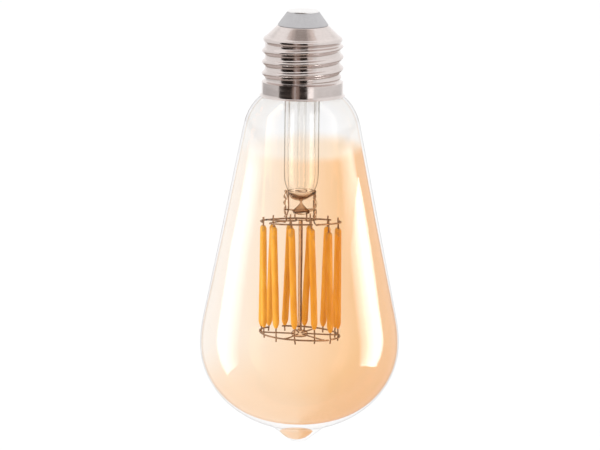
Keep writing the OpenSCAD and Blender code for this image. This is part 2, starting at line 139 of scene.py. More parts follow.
def smooth_path(points, steps=6):
    """A curve through the points."""
    p = [Vector(q) for q in points]
    padded = [2 * p[0] - p[1]] + p + [2 * p[-1] - p[-2]]
    path = []
    for i in range(1, len(padded) - 2):
        before, a, b, after = padded[i - 1:i + 3]
        for k in range(steps):
            t = k / steps
            path.append(0.5 * (2 * a + (b - before) * t
                               + (2 * before - 5 * a + 4 * b - after) * t ** 2
                               + (3 * a - before - 3 * b + after) * t ** 3))
    return path + [p[-1]]


def smoothstep(low, high, x):
    t = min(max((x - low) / (high - low), 0), 1)
    return t * t * (3 - 2 * t)


# ---- mesh building

def new_object(name, data):
    """An object in the scene that shows the data."""
    made = bpy.data.objects.new(name, data)
    bpy.context.scene.collection.objects.link(made)
    return made


class Shape:
    """Collects the points and faces of one piece, in millimetres."""

    def __init__(self):
        self.points = []
        self.faces = []
        self.slots = []

    def add(self, points, faces, slot=0):
        first = len(self.points)
        self.points += [Vector(p) for p in points]
        self.faces += [[first + i for i in f] for f in faces]
        self.slots += [slot] * len(faces)

    def grid(self, rings, slot=0):
        """Joins equal rings of points, each closed on itself, and closes both ends."""
        n = len(rings[0])
        points = [p for ring in rings for p in ring]
        faces = []
        for i in range(len(rings) - 1):
            for j in range(n):
                k = (j + 1) % n
                faces.append([i * n + j, i * n + k, (i + 1) * n + k, (i + 1) * n + j])
        faces.append(list(range(n - 1, -1, -1)))
        faces.append([(len(rings) - 1) * n + j for j in range(n)])
        self.add(points, faces, slot)

    def lathe(self, profile, segments=96, slot=0, closed=False, radius=None, centre=(0, 0)):
        """Turns a profile of (r, z) round the axis. radius(r, z, angle) can vary it."""
        points = []
        rows = []
        for r, z in profile:
            if r < 1e-6:
                rows.append([len(points)] * segments)
                points.append((centre[0], centre[1], z))
                continue
            rows.append(list(range(len(points), len(points) + segments)))
            for j in range(segments):
                a = 2 * math.pi * j / segments
                q = radius(r, z, a) if radius else r
                points.append((centre[0] + q * math.cos(a), centre[1] + q * math.sin(a), z))
        if closed:
            rows.append(rows[0])
        faces = []
        for upper, lower in zip(rows, rows[1:]):
            for j in range(segments):
                k = (j + 1) % segments
                face = []
                for i in (upper[j], upper[k], lower[k], lower[j]):
                    if i not in face:
                        face.append(i)
                if len(face) > 2:
                    faces.append(face)
        self.add(points, faces, slot)

    def tube(self, path, radius, sides=12, slot=0):
        """A round bar along a path. radius is a number or a function of the share of the
        path's length."""
        path = [Vector(p) for p in path]
        rings = []
        side = None
        for i, p in enumerate(path):
            ahead = (path[min(i + 1, len(path) - 1)] - path[max(i - 1, 0)]).normalized()
            if side is None:
                side = ahead.orthogonal().normalized()
            side = (side - side.dot(ahead) * ahead).normalized()
            up = ahead.cross(side)
            r = radius(i / (len(path) - 1)) if callable(radius) else radius
            rings.append([p + r * (math.cos(a) * side + math.sin(a) * up)
                          for a in (2 * math.pi * j / sides for j in range(sides))])
        self.grid(rings, slot)

    def ball(self, centre, size, slot):
        """A rounded blob of half-widths size."""
        segments = 12
        rows = 8
        profile = [(math.sin(math.pi * i / rows), math.cos(math.pi * i / rows))
                   for i in range(rows + 1)]
        blob = Shape()
        blob.lathe(profile, segments)
        self.add([centre + Vector(a * b for a, b in zip(p, size)) for p in blob.points],
                 blob.faces, slot)

    def build(self, name, materials, nodes, sharp=40):
        """Makes the object, which stands for the CAD nodes."""
        mesh = bpy.data.meshes.new(name)
        mesh.from_pydata([p * MM for p in self.points], [], self.faces)
        for material in materials:
            mesh.materials.append(material)
        mesh.polygons.foreach_set("material_index", self.slots)
        mesh.polygons.foreach_set("use_smooth", [True] * len(self.faces))
        mesh.update()
        mesh.set_sharp_from_angle(angle=math.radians(sharp))
        made = new_object(name, mesh)
        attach(made, "root")
        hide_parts(*nodes)
        return made


# ---- materials

class Nodes:
    """Short names for the nodes that the materials are made of."""

    def __init__(self, name):
        self.material = bpy.data.materials.new(name)
        self.material.use_nodes = True
        self.tree = self.material.node_tree
        self.tree.nodes.clear()
        self.output = self.tree.nodes.new("ShaderNodeOutputMaterial")
        self.place = self.tree.nodes.new("ShaderNodeTexCoord").outputs["Object"]

    def link(self, source, target):
        self.tree.links.new(source, target)

    def new(self, kind, **inputs):
        node = self.tree.nodes.new(kind)
        for name, value in inputs.items():
            self.set(node.inputs[name.replace("_", " ")], value)
        return node

    def set(self, socket, value):
        if isinstance(value, bpy.types.NodeSocket):
            self.link(value, socket)
        else:
            socket.default_value = value

    def stretched(self, x, y, z):
        """The object's own coordinates in millimetres, scaled by x, y and z."""
        node = self.new("ShaderNodeMapping", Vector=self.place,
                        Scale=(x / MM, y / MM, z / MM))
        return node.outputs["Vector"]

    def noise(self, scale, detail=3.0):
        node = self.new("ShaderNodeTexNoise", Vector=self.stretched(*scale), Scale=1.0,
                        Detail=detail, Roughness=0.55)
        return node.outputs["Fac"]

    def math(self, operation, a, b=0.0):
        node = self.tree.nodes.new("ShaderNodeMath")
        node.operation = operation
        self.set(node.inputs[0], a)
        self.set(node.inputs[1], b)
        return node.outputs[0]

    def add(self, a, b):
        return self.math("ADD", a, b)

    def times(self, a, b):
        return self.math("MULTIPLY", a, b)

    def ranged(self, value, low, high, to_low, to_high, smooth=False):
        node = self.new("ShaderNodeMapRange", Value=value, From_Min=low, From_Max=high,
                        To_Min=to_low, To_Max=to_high)
        if smooth:
            node.interpolation_type = "SMOOTHSTEP"
        return node.outputs["Result"]

    def mix(self, share, first, second, blend="MIX"):
        """Two colours mixed. The node keeps its colour inputs in sockets 0, 6 and 7."""
        node = self.tree.nodes.new("ShaderNodeMix")
        node.data_type = "RGBA"
        node.blend_type = blend
        for socket, value in ((0, share), (6, first), (7, second)):
            self.set(node.inputs[socket], value)
        return node.outputs[2]

    def ramp(self, value, *stops):
        """Colours by value: stops are (position, colour)."""
        node = self.tree.nodes.new("ShaderNodeValToRGB")
        elements = node.color_ramp.elements
        while len(elements) < len(stops):
            elements.new(0.5)
        for element, (position, colour) in zip(elements, stops):
            element.position = position
            element.color = (*colour, 1)
        self.link(value, node.inputs["Fac"])
        return node.outputs["Color"]

    def bump(self, height, strength, distance_mm):
        node = self.new("ShaderNodeBump", Strength=strength, Distance=distance_mm * MM,
                        Height=height)
        return node.outputs["Normal"]

    def facing(self):
        """0 where the surface faces the viewer, 1 at its edge."""
        return self.new("ShaderNodeLayerWeight", Blend=0.5).outputs["Facing"]

    def done(self, shader):
        self.link(shader.outputs[0], self.output.inputs["Surface"])
        return self.material


def solid_material(name, dark, light, rough=(0.4, 0.6), metallic=0.0, grain=(0.6, 0.6, 0.6),
                   bump=0.2, bump_mm=0.05, coat=0.0):
    """An opaque finish whose colour, roughness and relief vary with a grain."""
    n = Nodes(name)
    fine = n.noise(grain, detail=5)
    broad = n.noise(tuple(g * 0.17 for g in grain), detail=2)
    mixed = n.add(n.times(fine, 0.6), n.times(broad, 0.4))
    return n.done(n.new(
        "ShaderNodeBsdfPrincipled", Metallic=metallic, Coat_Weight=coat,
        Base_Color=n.ramp(mixed, (0.3, dark), (0.7, light)),
        Roughness=n.ranged(broad, 0.3, 0.7, *rough), Normal=n.bump(fine, bump, bump_mm)))


def thin_glass(name, tint_of, painted_edge_shade, gloss, ripple=0.05, ripple_grain=(0.05, 0.05, 0.03)):
    """Thin-walled glass: see-through with a tint, darkened at its edges by painted shade, and
    glossy.
    tint_of(nodes) gives the tint, painted_edge_shade the stops of the painted shade at the edges,
    which stands in for refraction of the surroundings and for the longer path through the glass at
    grazing angles, and gloss the stops of how much it mirrors, both from head-on to grazing."""
    n = Nodes(name)
    facing = n.facing()
    # painted shade: the tint is darkened towards the edges by a ramp over facing
    tint_and_painted_edge_shade = n.mix(1.0, tint_of(n), n.ramp(facing, *painted_edge_shade), "MULTIPLY")
    clear = n.new("ShaderNodeBsdfTransparent", Color=tint_and_painted_edge_shade)
    normal = n.bump(n.noise(ripple_grain, detail=1), ripple, 1.0)
    mirror = n.new("ShaderNodeBsdfAnisotropic", Color=(1, 1, 1, 1), Roughness=0.0,
                   Normal=normal)
    share = n.ramp(facing, *[(position, (level,) * 3) for position, level in gloss])
    both = n.tree.nodes.new("ShaderNodeMixShader")
    for source, socket in zip((share, clear.outputs[0], mirror.outputs[0]), both.inputs):
        n.link(source, socket)
    return n.done(both)


# ---- sizes read from the frame

contact_low, contact_high = box_mm("end_contact")
insulator_low, insulator_high = box_mm("contact_insulator")
shell_low, shell_high = box_mm("screw_shell")
rim_z = shell_low.z
glass_low, glass_high = box_mm("glass_envelope")
tube_low, tube_high = box_mm("stem_tube")
exhaust_low, exhaust_high = box_mm("exhaust_tube")
press_low, press_high = box_mm("stem_press")
rod_low, rod_high = box_mm("centre_rod")
bead_low, bead_high = box_mm("rod_bead")

crown_wire_r = 0.27
cad_wire_r = 0.25
crown_r = box_mm("lower_wire_rear")[1].y - cad_wire_r
upper_plane = plane_through(["upper_wire_front", "upper_wire_right", "upper_wire_rear"])
lower_plane = plane_through(["lower_wire_front", "lower_wire_rear"])
pin_r = 0.25
lead_r = 0.235
weld_overlap = 0.4


def height_in(plane, p):
    return plane[0] + plane[1] * p.x + plane[2] * p.y


def on_crown(plane, angle, r):
    """A point in the leaning plane of a crown."""
    p = around(angle, r, 0)
    p.z = height_in(plane, p)
    return p


# ---- cap

nickel = solid_material(
    "nickel_plate", (0.66, 0.59, 0.565), (0.75, 0.675, 0.65), (0.13, 0.2), metallic=1.0,
    grain=(0.8, 0.8, 6.0), bump=0.05, bump_mm=0.02)
contact_metal = solid_material(
    "contact_plate", (0.84, 0.82, 0.81), (0.93, 0.92, 0.91), (0.28, 0.4), metallic=1.0,
    grain=(3, 3, 3), bump=0.2, bump_mm=0.03)
moulding = solid_material(
    "insulator_moulding", (0.43, 0.42, 0.43), (0.53, 0.52, 0.53), (0.42, 0.58),
    grain=(2.5, 2.5, 2.5), bump=0.12, bump_mm=0.04)


def make_contact():
    """A thin disc with a pressed edge, and a sunk rivet in its middle."""
    r = contact_high.x
    thickness = 0.45
    rivet_r = 1.5
    shank_r = rivet_r - 0.1
    shape = Shape()
    shape.lathe([(0, -0.12), (0.9, -0.09), (rivet_r, -0.03), (r - 0.9, -0.03), (r - 0.55, 0),
                 (r - 0.2, -0.02), (r - 0.05, -0.1), (r, -0.2), (r, -thickness),
                 (shank_r, -thickness), (shank_r, contact_low.z), (0, contact_low.z)], 128)
    return shape.build("contact_plate_and_rivet", [contact_metal], ["end_contact"])


def make_insulator():
    """The moulded cone under the contact, with a spigot that sits in the shell."""
    top_z = insulator_high.z
    foot_z = shell_high.z + 0.05
    top_r = contact_high.x + 0.15
    foot_r = insulator_high.x
    bore = 1.45
    spigot_r = foot_r - 0.55
    low_z = insulator_low.z
    slope_top = Vector((top_r + 0.2, top_z - 0.2))
    slope_foot = Vector((foot_r - 0.1, foot_z + 0.35))
    profile = [(bore, top_z), (top_r - 0.1, top_z), (top_r + 0.08, top_z - 0.05)]
    profile += [slope_top.lerp(slope_foot, t) for t in (0, 0.1, 0.3, 0.5, 0.7, 0.9, 1)]
    profile += [(foot_r - 0.03, foot_z + 0.2), (foot_r, foot_z + 0.08), (foot_r - 0.04, foot_z),
                (spigot_r, foot_z), (spigot_r, low_z), (bore, low_z)]
    shape = Shape()
    shape.lathe(profile, 128, closed=True)
    return shape.build("insulator_cone", [moulding], ["contact_insulator"])


def make_screw_shell():
    """The pressed sheet shell: shoulder, single-start thread, plain skirt and flared rim."""
    crest_r = 13.15
    root_r = 12.1
    skirt_r = 13.1
    pitch = 3.629
    top_z = shell_high.z
    rim_r = shell_high.x
    shoulder_r = insulator_high.x - 0.1
    cone_r = 11.95
    cone_z = -8.5
    thread_top = -10.6
    skirt_bottom = rim_z + 0.9
    skirt_top = skirt_bottom + 3.8
    thread_bottom = skirt_top + 0.7
    crest_z = -11.3
    crest_sharpness = 1.6
    fade_in, fade_out = 0.9, 1.2
    thread_steps = 150
    skirt_steps = 10
    sheet = 0.3

    def outline(r, z, a):
        if not thread_bottom < z < thread_top:
            return r
        fade = min(smoothstep(thread_top, thread_top - fade_in, z),
                   smoothstep(thread_bottom, thread_bottom + fade_out, z))
        turn = 2 * math.pi * (z - crest_z) / pitch - a
        wave = (1 + math.cos(turn)) / 2
        return r + (crest_r - root_r) * fade * wave ** crest_sharpness

    outer = [(shoulder_r, top_z), (shoulder_r + 0.25, top_z - 0.12)]
    outer += bezier((shoulder_r + 0.45, top_z - 0.3), (9.5, top_z - 1.3),
                    (10.8, cone_z + 1.1), (cone_r, cone_z + 0.1), 10)
    outer += bezier((cone_r, cone_z + 0.1), (crest_r, cone_z - 0.5),
                    (12.75, thread_top + 0.75), (root_r, thread_top), 14)
    outer += [(root_r, thread_top + (thread_bottom - thread_top) * i / thread_steps)
              for i in range(thread_steps)]
    skirt_start = skirt_top - 0.12
    outer += bezier((root_r, thread_bottom), (root_r, thread_bottom - 0.45),
                    (skirt_r - 0.25, skirt_top + 0.1), (skirt_r, skirt_start), 8)
    outer += [(skirt_r, skirt_start + (skirt_bottom - skirt_start) * i / skirt_steps)
              for i in range(skirt_steps)]
    outer += bezier((skirt_r, skirt_bottom), (skirt_r, skirt_bottom - 0.4),
                    (rim_r - 0.35, rim_z + 0.25), (rim_r - 0.02, rim_z + 0.12), 8)
    outer += [(rim_r, rim_z + 0.04), (rim_r - 0.08, rim_z)]
    inner = [(r - sheet, z) for r, z in outer[1:-2]]
    shape = Shape()
    shape.lathe(outer + inner[::-1], 192, closed=True, radius=outline)
    return shape.build("screw_cap_shell", [nickel], ["screw_shell"], sharp=50)


# ---- bulb glass

belly_r = glass_high.x
tip_z = glass_low.z
tip_h = 4.2
dome_h = 28.0
belly_z = tip_z + tip_h + dome_h
neck_top_z = glass_high.z
neck_r = 11.5
tip_start_r = 9.5
lustre_front_z = -44.0
lustre_rear_z = -41.0
lustre_full_z = -47.0


def bulb_side():
    """The outside of the glass from the neck's top to the widest place."""
    start = Vector((14.6, rim_z - 1.4))
    cone_start = Vector((18.85, rim_z - 10))
    cone_end = Vector((30.0, belly_z + 14.6))
    down = (cone_end - cone_start).normalized()
    points = [Vector((neck_r, neck_top_z))]
    points += bezier((neck_r, rim_z + 2.5), (neck_r, rim_z + 0.5), start + Vector((-1.5, 1.5)),
                     start, 14)
    points += bezier(start, start + Vector((1.6, -1.6)), cone_start - 4 * down, cone_start, 14)
    points += [cone_start.lerp(cone_end, t / 24) for t in range(24)]
    points += bezier(cone_end, cone_end + 5.5 * down, (belly_r, belly_z + 5.5),
                     (belly_r, belly_z), 16)
    return points


def bulb_outline():
    """The outside of the glass down to where the drawn tip starts."""
    steps = 40
    stop = math.acos(tip_start_r / belly_r)
    dome = [Vector((belly_r * math.cos(stop * i / steps),
                    belly_z - dome_h * math.sin(stop * i / steps))) for i in range(steps + 1)]
    return bulb_side() + dome


def outer_tint(n):
    """Clear glass, a little greyer where it is thick at the neck."""
    height = n.new("ShaderNodeSeparateXYZ", Vector=n.place).outputs["Z"]
    cloud = n.ranged(n.noise((0.03, 0.03, 0.03)), 0.3, 0.7, -0.08, 0.08)
    level = n.ranged(height, (rim_z - 22) * MM, (rim_z - 2) * MM, 0.1, 0.9)
    return n.ramp(n.add(level, cloud), (0.0, (0.998, 0.998, 0.998)),
                  (1.0, (0.935, 0.935, 0.942)))


def lustre_tint(n):
    """Clear at the neck, then an amber film whose tint deepens from left to right and
    towards the bottom."""
    x, y, z = n.new("ShaderNodeSeparateXYZ", Vector=n.place).outputs
    uneven = n.noise((0.06, 0.06, 0.09), detail=2)
    level = n.add(z, n.ranged(uneven, 0.3, 0.7, -0.6 * MM, 0.6 * MM))
    glass_r = 19 * MM
    top = n.ranged(y, -glass_r, glass_r, lustre_front_z * MM, lustre_rear_z * MM)
    film = n.ranged(level, top, lustre_full_z * MM, 0.0, 1.0, smooth=True)
    across = n.math("SQRT", n.add(n.math("POWER", x, 2.0), n.math("POWER", y, 2.0)))
    # -1 at the left of the bulb, 0 at its front and back, 1 at its right
    turn = n.math("DIVIDE", x, across)
    side = n.add(n.ranged(turn, -1.0, 1.0, 0.15, 1.75),
                 n.add(n.ranged(turn, 0.2, 1.0, 0.0, 0.25),
                       n.ranged(turn, 0.7, 1.0, 0.0, -0.35)))
    low = n.ranged(z, (belly_z - 2) * MM, (belly_z - 16) * MM, 0.0, 1.0, smooth=True)
    low_left = n.times(n.ranged(turn, -0.1, -0.9, 0.0, 0.5), low)
    bottom = n.ranged(z, belly_z * MM, (belly_z - dome_h) * MM, 1.0, 1.35)
    streaks = n.ranged(n.noise((0.25, 0.25, 0.02), detail=4), 0.3, 0.7, 0.96, 1.04)
    amount = n.times(n.times(film, n.add(side, low_left)), n.times(bottom, streaks))
    return n.ramp(n.times(amount, 0.5), (0.0, (1, 1, 1)), (0.25, (0.9995, 0.917, 0.828)),
                  (0.5, (0.995, 0.84, 0.685)), (0.75, (0.975, 0.77, 0.565)),
                  (1.0, (0.945, 0.705, 0.47)))


outer_gloss = [(0.0, 0.004), (0.16, 0.006), (0.25, 0.035), (0.35, 0.07), (0.6, 0.075),
               (0.85, 0.16), (1.0, 0.6)]
inner_gloss = [(0.0, 0.003), (0.2, 0.005), (0.4, 0.03), (0.6, 0.04), (0.85, 0.09), (1.0, 0.3)]
# The edge stops below are painted shade at the rims of the bulb: refraction darkening on the
# outside, and the longer path through the amber film on the inside.
outer_glass = thin_glass("bulb_glass_outside", outer_tint, [
    (0.0, (1, 1, 1)), (0.72, (0.995, 0.995, 0.995)), (0.87, (0.93, 0.92, 0.918)),
    (1.0, (0.42, 0.38, 0.37))], outer_gloss)
inner_glass = thin_glass("bulb_glass_lustre", lustre_tint, [
    (0.0, (1, 1, 1)), (0.8, (0.99, 0.98, 0.965)), (1.0, (0.9, 0.78, 0.66))], inner_gloss)


def make_bulb():
    """The blown glass with real walls, thick at the bottom, and the lens in its drawn tip."""
    outer = bulb_outline()
    tip_top = outer[-1]
    tip_side = Vector((2.6, tip_z + 0.45))
    outer += bezier(tip_top, tip_top + Vector((-1.3, -0.4)), (4.6, tip_z + 1.9), tip_side,
                    12)[1:]
    outer += bezier(tip_side, (1.8, tip_z + 0.1), (0.9, tip_z), (0, tip_z), 6)
    outer.append(Vector((0, tip_z)))
    segments = 160
    side_wall = 0.8
    belly_wall = 0.4
    bottom_wall = 2.1
    dome_steps = 44
    inner = []
    side = bulb_side()
    for i, p in enumerate(side):
        ahead = (side[min(i + 1, len(side) - 1)] - side[max(i - 1, 0)]).normalized()
        w = side_wall + (belly_wall - side_wall) * smoothstep(rim_z - 32, belly_z, p.y)
        inner.append(p + w * Vector((ahead.y, -ahead.x)))
    inner[0] = Vector((neck_r - side_wall, neck_top_z))
    for i in range(dome_steps + 1):
        t = math.pi / 2 * i / dome_steps
        w = belly_wall + (bottom_wall - belly_wall) * math.sin(t) ** 6
        inner.append(Vector(((belly_r - w) * math.cos(t), belly_z - (dome_h - w) * math.sin(t))))
    lens = [(r, tip_z + h) for r, h in ((0, 3.2), (3.0, 3.3), (4.9, 3.45), (5.3, 3.25),
                                        (4.7, 2.5), (3.2, 1.4), (1.6, 0.8), (0, 0.65))]
    lens_centre = (-0.75, 0)
    shape = Shape()
    shape.lathe(outer, segments)
    shape.lathe(inner[::-1], segments, slot=1)
    shape.lathe([inner[0], outer[0]], segments)
    shape.lathe(lens, 64, slot=1, centre=lens_centre)
    return shape.build("bulb_glass", [outer_glass, inner_glass],
                       ["glass_envelope"])


# ---- stem

def stem_tint(n):
    return n.ramp(n.noise((0.2, 0.2, 0.05)), (0.3, (0.985, 0.982, 0.977)),
                  (0.7, (0.998, 0.997, 0.995)))


def rod_tint_with_painted_line(n):
    """Brownish glass, with a painted dark line down one side, which stands for the dark line that
    refraction makes in the rod.
    """
    across = n.new("ShaderNodeSeparateXYZ", Vector=n.stretched(1, 1, 1)).outputs["X"]
    # the dark stops paint the refraction line
    return n.ramp(n.ranged(across, -0.75, 0.75, 0.0, 1.0), (0.0, (0.86, 0.74, 0.62)),
                  (0.55, (0.84, 0.71, 0.59)), (0.66, (0.42, 0.29, 0.21)),
                  (0.8, (0.36, 0.24, 0.17)), (0.95, (0.85, 0.73, 0.62)))


def stem_part_glass(name, painted_edge_shade, tint_of=stem_tint, **ripple):
    gloss = [(0.0, 0.01), (0.3, 0.03), (0.8, 0.12), (1.0, 0.4)]
    return thin_glass(name, tint_of, painted_edge_shade, gloss, **ripple)


# The edge stops of these glasses are painted shade: the dark outlines that refraction gives the
# stem's glass.
stem_glass = stem_part_glass("stem_glass_outside", [
    (0.0, (1, 1, 1)), (0.6, (0.99, 0.988, 0.985)), (0.72, (0.82, 0.79, 0.76)),
    (0.86, (0.32, 0.26, 0.22)), (1.0, (0.1, 0.07, 0.05))])
stem_bore = stem_part_glass("stem_glass_inside", [
    (0.0, (1, 1, 1)), (0.7, (0.99, 0.99, 0.988)), (0.88, (0.88, 0.87, 0.86)),
    (1.0, (0.66, 0.63, 0.6))])
exhaust_glass = stem_part_glass("exhaust_glass", [
    (0.0, (1, 1, 1)), (0.5, (0.98, 0.98, 0.975)), (0.75, (0.86, 0.85, 0.83)),
    (1.0, (0.55, 0.52, 0.49))])
press_glass = stem_part_glass("pressed_glass", [
    (0.0, (1, 1, 1)), (0.35, (0.98, 0.965, 0.945)), (0.62, (0.82, 0.72, 0.63)),
    (0.85, (0.42, 0.3, 0.22)), (1.0, (0.2, 0.13, 0.09))],
    ripple=0.5, ripple_grain=(0.5, 0.5, 0.35))
# Dark brown glass for the seal lines, the bubble and the folds in the press: the seams and hollows
# are real, their darkness is painted shade for the refraction in the press.
seal_glass_painted_shade = stem_part_glass("seal_glass_painted_shade", [
    (0.0, (0.84, 0.74, 0.65)), (0.35, (0.58, 0.45, 0.35)), (0.7, (0.22, 0.14, 0.1)),
    (1.0, (0.09, 0.055, 0.04))], ripple=0.4, ripple_grain=(0.8, 0.8, 0.5))
rod_glass = stem_part_glass("rod_glass", [
    (0.0, (0.97, 0.95, 0.92)), (0.4, (0.93, 0.88, 0.83)), (0.75, (0.68, 0.56, 0.46)),
    (1.0, (0.3, 0.2, 0.14))], tint_of=rod_tint_with_painted_line)
bead_glass = stem_part_glass("bead_glass", [
    (0.0, (0.97, 0.93, 0.88)), (0.4, (0.9, 0.81, 0.72)), (0.68, (0.62, 0.48, 0.38)),
    (0.85, (0.26, 0.17, 0.12)), (1.0, (0.1, 0.06, 0.04))],
    ripple=0.7, ripple_grain=(0.7, 0.7, 0.7))


def make_stem():
    """The stem's tube, which flares at the top and narrows towards the press."""
    r = 5.6
    wall = 1.0
    bottom_z = tube_low.z
    flare = flare_profile(r, wall)
    narrowing = [(14, 0), (7, 0), (4.8, 0.04), (3.2, 0.2), (2.0, 0.5), (1.0, 0.85), (0.1, 1.2)]
    outer = flare[0] + [(r - inwards, bottom_z + h) for h, inwards in narrowing]
    inner = flare[1] + [(r - wall - inwards, bottom_z + h) for h, inwards in narrowing]
    shape = Shape()
    shape.lathe(outer + inner[-1:], 96)
    shape.lathe(inner[::-1] + outer[:1], 96, slot=1)
    shape.build("stem_glass_tube", [stem_glass, stem_bore], ["stem_tube"])


def flare_profile(r, wall):
    """Outside and inside of the stem's flare, from the neck in to the tube."""
    centre_r = tube_high.x
    reach = centre_r - r
    centre_z = tube_high.z - wall - reach
    angles = [math.radians(a) for a in range(90, -1, -6)]
    outer = [(centre_r - reach * math.cos(a), centre_z + reach * math.sin(a)) for a in angles]
    inner = [(centre_r - (reach + wall) * math.cos(a), centre_z + (reach + wall) * math.sin(a))
             for a in angles]
    return outer, inner


def make_exhaust():
    r = exhaust_high.x
    wall = 0.4
    low_z = exhaust_low.z
    top_z = exhaust_high.z
    cap = [math.radians(a) for a in range(90, -1, -15)]
    outer = [(r * math.cos(a), top_z - r * (1 - math.sin(a))) for a in cap]
    inner = [((r - wall) * math.cos(a), top_z - r - 0.6 + (r - wall) * math.sin(a)) for a in cap]
    shape = Shape()
    shape.lathe(outer + [(r, low_z), (r - wall, low_z)] + inner[::-1], 64)
    shape.build("exhaust_glass_tube", [exhaust_glass], ["exhaust_tube"])


def make_press():
    """The pinched end: round where it meets the tube, flat and lumpy below."""
    top_z = press_high.z
    low_z = press_low.z
    half_w = 5.15
    half_t = 2.15
    round_r = press_high.x - 0.75
    end_start = 0.93
    rows = 40
    sides = 72
    rings = []
    for i in range(rows + 1):
        t = i / rows
        z = top_z + (low_z - top_z) * t
        flat = smoothstep(0.0, 0.35, t)
        waist = 0.35 * math.exp(-((t - 0.22) / 0.1) ** 2)
        past = max(t - end_start, 0) / (1 - end_start)
        end = math.sqrt(max(1 - past ** 2, 0))
        w = (round_r + (half_w - 0.1 - round_r) * flat - waist) * (0.82 + 0.18 * end)
        d = (round_r + (half_t - 0.1 - round_r) * flat) * (0.6 + 0.4 * end)
        ring = []
        for j in range(sides):
            a = 2 * math.pi * j / sides
            c, s = math.cos(a), math.sin(a)
            power = 1 - 0.3 * flat
            p = Vector((w * math.copysign(abs(c) ** power, c),
                        d * math.copysign(abs(s) ** power, s), z))
            lump = noise.noise(p * 0.55) * 0.28 * flat
            ring.append(Vector((p.x * (1 + lump * 0.18), p.y * (1 + lump), z)))
        rings.append(ring)
    bowl_depth = 2.2
    bowl = [[Vector((p[0] * q, p[1] * q, top_z - bowl_depth * (1 - q * q))) for p in rings[0]]
            for q in (0.05, 0.2, 0.35, 0.5, 0.65, 0.8, 0.92)]
    shape = Shape()
    shape.grid(bowl + rings)

    def seal_line(rx, ry, z, thick, phase, bow):
        """A hand-made ring of glass where two melts meet, thick and thin by turns. Its dark brown
        glass is painted shade for the refraction at the seam.
        """
        steps = 48
        ring = []
        for i in range(steps + 1):
            t = 2 * math.pi * i / steps
            q = 1 + 0.05 * math.sin(3 * t + phase) + 0.03 * math.sin(7 * t + 2 * phase)
            lift = bow * math.cos(t) ** 2 + 0.18 * math.sin(2 * t + phase)
            ring.append((rx * q * math.cos(t), ry * q * math.sin(t), z + lift))
        shape.tube(ring, lambda u: thick * (1 + 0.45 * math.sin(19 * u + phase)), 8, slot=1)

    for rx, ry, depth, thick, phase, bow in (
            (1.8, 1.5, 0, 0.14, 0.3, 0), (4.3, 2.6, 1.9, 0.18, 1.1, 1.3),
            (3.9, 1.9, 2.6, 0.24, 2.4, 1.8), (2.7, 1.2, 2.4, 0.16, 3.9, 0.9),
            (4.7, 1.6, 6.5, 0.19, 5.2, 0.5), (2.4, 1.5, 7.2, 0.2, 0.8, 0)):
        seal_line(rx, ry, top_z - depth, thick, phase, bow)
    bubble = [(0, top_z - 2.6), (0.8, top_z - 2.8), (0.35, top_z - 3.5), (0.6, top_z - 4.3),
              (1.5, top_z - 5.3), (2.5, top_z - 6.2), (2.8, top_z - 6.7), (1.6, top_z - 7.0),
              (0, top_z - 7.1)]
    curve = smooth_path([(r, 0, z) for r, z in bubble], 3)
    inner = Shape()
    inner.lathe([(max(p.x, 0), p.z) for p in curve], 40)
    flatten = 0.5
    shape.add([(p.x, p.y * flatten, p.z) for p in inner.points], inner.faces, slot=1)
    for x, phase in ((-5.2, 0.0), (4.45, 2.0)):
        fold = [(x + 0.25 * math.sin(1.9 * i + phase), 0.3 * math.cos(1.3 * i + phase),
                 top_z + 0.2 - 0.72 * i) for i in range(13)]
        shape.tube(smooth_path(fold, 3),
                   lambda u, phase=phase: (0.24 + 0.12 * math.sin(31 * u + phase)
                                           + 0.2 * u * (x > 0)), 10, slot=1)
    shape.build("pressed_glass", [press_glass, seal_glass_painted_shade], ["stem_press"],
                sharp=60)


def make_rod():
    r = rod_high.x
    wobble = [(0.04 * math.sin(z * 0.3), 0.03 * math.cos(z * 0.21), z)
              for z in (rod_high.z + (rod_low.z - rod_high.z) * i / 24 for i in range(25))]
    shape = Shape()
    shape.tube(wobble, r - 0.06, 20)
    shape.build("centre_glass_rod", [rod_glass], ["centre_rod"])


def make_bead():
    r = bead_high.x
    high = bead_high.z
    low = bead_low.z
    mid = (high + low) / 2
    profile = [(0, high), (r * 0.55, high - 0.03), (r * 0.86, high - 0.22), (r * 0.98, high - 0.6),
               (r * 0.99, mid), (r * 0.98, low + 0.6), (r * 0.86, low + 0.22),
               (r * 0.55, low + 0.03), (0, low)]

    lump = 0.04

    def lumpy(q, z, a):
        return q * (1 - lump + lump * math.sin(3 * a + 0.6) * math.cos(a - 1))

    shape = Shape()
    shape.lathe(profile, 64, radius=lumpy)
    shape.build("support_bead", [bead_glass], ["rod_bead"])


# ---- wires

wire_metal = solid_material(
    "support_wire", (0.09, 0.05, 0.028), (0.38, 0.245, 0.16), (0.35, 0.55), metallic=0.35,
    grain=(0.9, 0.9, 0.9), bump=0.3)
weld_metal = solid_material(
    "weld", (0.045, 0.035, 0.028), (0.16, 0.12, 0.09), (0.4, 0.6), metallic=0.5,
    grain=(3, 3, 3), bump=0.5, bump_mm=0.06)
sealed_metal = solid_material(
    "sealed_wire", (0.3, 0.25, 0.21), (0.48, 0.42, 0.37), (0.35, 0.5), metallic=0.7,
    grain=(1, 1, 0.3))


